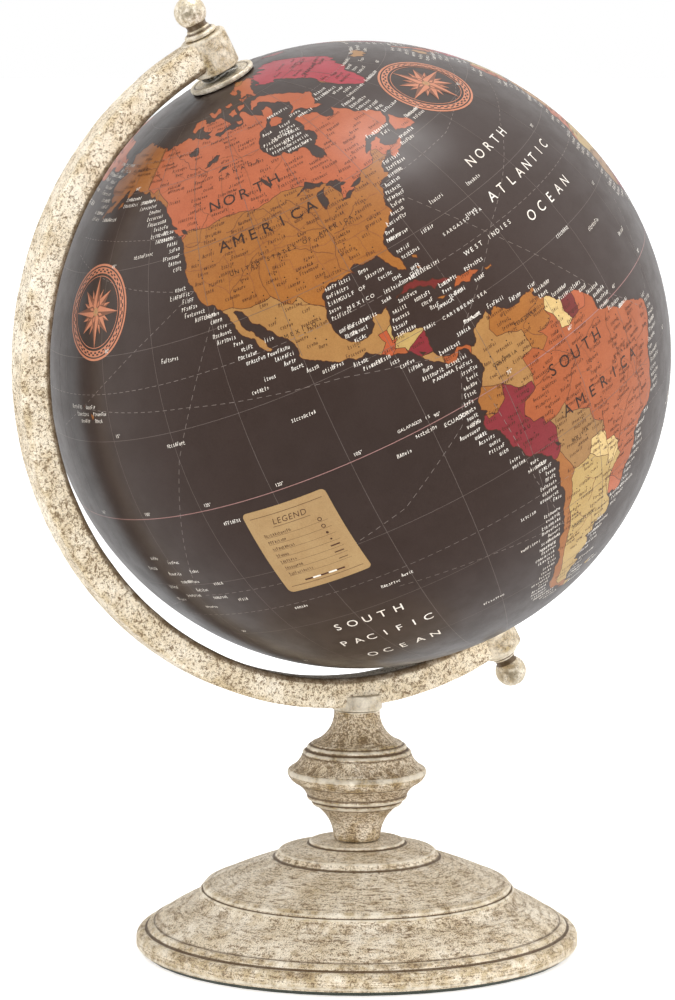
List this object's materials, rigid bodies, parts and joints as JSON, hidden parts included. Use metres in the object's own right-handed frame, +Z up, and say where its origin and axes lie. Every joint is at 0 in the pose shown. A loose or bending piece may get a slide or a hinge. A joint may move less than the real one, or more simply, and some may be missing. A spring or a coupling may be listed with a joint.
{
  "type": "desktop globe on stand",
  "caption": "Printed globe that spins on a tilted axle between the ends of a C-shaped cast arm, on a turned baluster stem and a stepped round base, with ball finials at both poles.",
  "frame": {"origin": "centre of the felt disc's underside, on the stem's axis, where the stand rests", "axes": "+Z up the stem; the arm lies in the XZ plane on the -X side and the north pole leans towards -X; +Y completes the right-handed frame"},
  "size_m": [0.2204, 0.2032, 0.3113],
  "materials": {
    "cast": "cast aluminium, whitewashed and rubbed back to a warm ivory with brown patina",
    "brass": "champagne brass, slightly worn",
    "steel": "zinc plated",
    "map_print": "plastic shell with a printed map, satin lacquer",
    "band_board": "raw board",
    "nylon": "natural nylon",
    "felt": "black felt on board"
  },
  "bodies": {
    "stand": {"base_felt_disc": "felt", "base_shell": "cast", "stem_baluster": "cast", "stem_locating_pin": "steel", "stem_tie_rod": "steel", "tie_rod_nut": "steel", "tie_rod_washer": "steel", "tie_rod_spring_washer": "steel", "meridian_arm": "cast", "axle_rod": "steel", "north_finial": "brass", "south_finial": "brass", "north_wave_washer": "steel", "south_thrust_washer": "nylon"},
    "globe": {"north_hemisphere": "map_print", "south_hemisphere": "map_print", "equator_joint_band": "band_board", "north_pole_bush": "nylon", "south_pole_bush": "nylon", "north_pole_cap": "brass"}
  },
  "joints": [
    {"name": "globe_spin", "type": "hinge", "parent": "stand", "child": "globe", "pos_m": [0, 0, 0.19553], "axis": [-0.4695, 0, 0.8829], "continuous": true}
  ]
}
